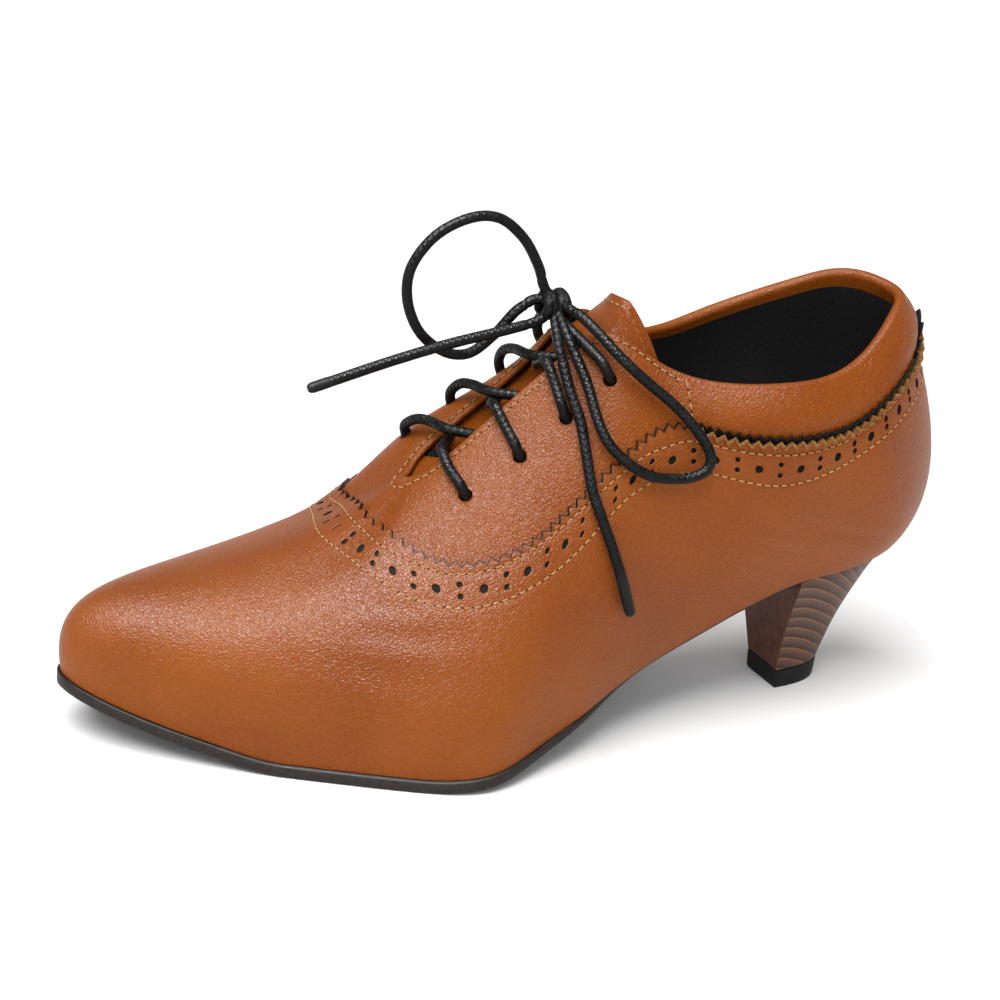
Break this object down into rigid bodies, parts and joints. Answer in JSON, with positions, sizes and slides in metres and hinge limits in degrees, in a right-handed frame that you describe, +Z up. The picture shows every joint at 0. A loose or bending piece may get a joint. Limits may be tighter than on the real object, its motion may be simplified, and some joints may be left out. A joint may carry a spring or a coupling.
{
  "type": "oxford shoe",
  "caption": "Left lace-up oxford pump: hollow leather upper with a gimped panel edge and a padded collar, tongue, tied lace, thin sole and a slim cone heel.",
  "frame": {"origin": "on the floor under the middle of the box of the shoe without its bow", "axes": "+X from the heel to the toe, +Y to the outer (lateral) side of this left shoe, +Z up"},
  "size_m": [0.2438, 0.0892, 0.1398],
  "materials": {
    "upper_leather": "smooth grain, semi-gloss",
    "tongue_leather": "smooth grain, semi-gloss",
    "trim": "gimped, matt",
    "sole_rubber": "matt",
    "insole_board": "matt",
    "heel_stack": "satin, with grain lines",
    "tip_rubber": "matt",
    "lace": "waxed"
  },
  "bodies": {
    "root": {"upper": "upper_leather", "tongue": "tongue_leather", "collar_trim": "trim", "outsole": "sole_rubber", "insole": "insole_board", "heel": "heel_stack", "heel_tip": "tip_rubber", "lace_crossing_1": "lace", "lace_crossing_2": "lace", "lace_crossing_3": "lace", "lace_crossing_4": "lace", "lace_knot": "lace", "lace_loop_up": "lace", "lace_loop_side": "lace", "lace_end_front": "lace", "lace_end_side": "lace"}
  },
  "joints": []
}
